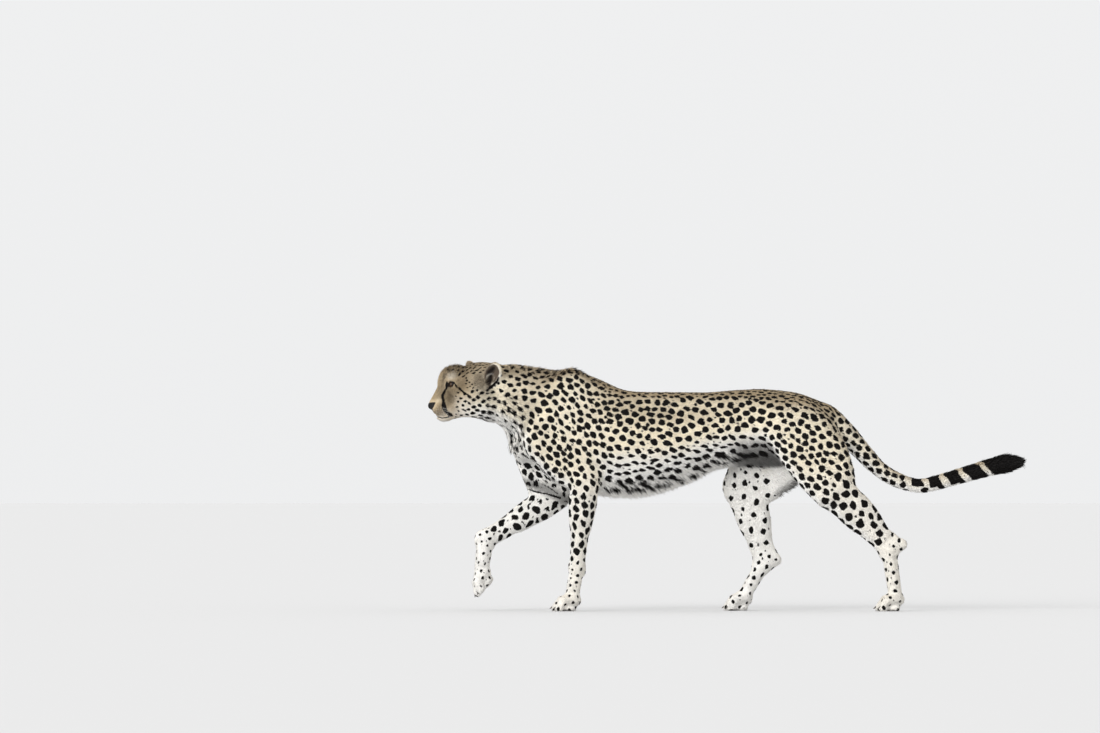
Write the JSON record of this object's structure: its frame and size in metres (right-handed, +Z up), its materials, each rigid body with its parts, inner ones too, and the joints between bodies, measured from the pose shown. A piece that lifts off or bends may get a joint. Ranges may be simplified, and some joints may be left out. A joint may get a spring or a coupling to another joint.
{
  "type": "cheetah",
  "caption": "Life-size walking cheetah with lowered head, one forefoot lifted and the long tail held out behind, a still display model that stands by itself.",
  "frame": {"origin": "middle of the overall box, on the floor that the paws stand on", "axes": "+Z up, the animal faces -Y, its left side is +X"},
  "size_m": [0.2395, 1.7851, 0.7505],
  "materials": {
    "coat": "short dense fur, sand with near-black spots, white underneath",
    "eye": "wet amber with a round black pupil",
    "claw": "dark horn, slightly polished"
  },
  "bodies": {
    "root": {"head": "coat", "ear_left": "coat", "ear_right": "coat", "eye_left": "eye", "eye_right": "eye", "neck": "coat", "trunk": "coat", "tail_base": "coat", "tail_middle": "coat", "tail_tip": "coat", "upper_arm_left": "coat", "forearm_left": "coat", "forepaw_left": "coat", "upper_arm_right": "coat", "forearm_right": "coat", "forepaw_right": "coat", "thigh_left": "coat", "lower_leg_left": "coat", "hind_foot_left": "coat", "thigh_right": "coat", "lower_leg_right": "coat", "hind_foot_right": "coat", "claw_fore_left_1": "claw", "claw_fore_left_2": "claw", "claw_fore_left_3": "claw", "claw_fore_left_4": "claw", "claw_fore_left_5": "claw", "claw_fore_right_1": "claw", "claw_fore_right_2": "claw", "claw_fore_right_3": "claw", "claw_fore_right_4": "claw", "claw_fore_right_5": "claw", "claw_hind_left_1": "claw", "claw_hind_left_2": "claw", "claw_hind_left_3": "claw", "claw_hind_left_4": "claw", "claw_hind_right_1": "claw", "claw_hind_right_2": "claw", "claw_hind_right_3": "claw", "claw_hind_right_4": "claw"}
  },
  "joints": []
}
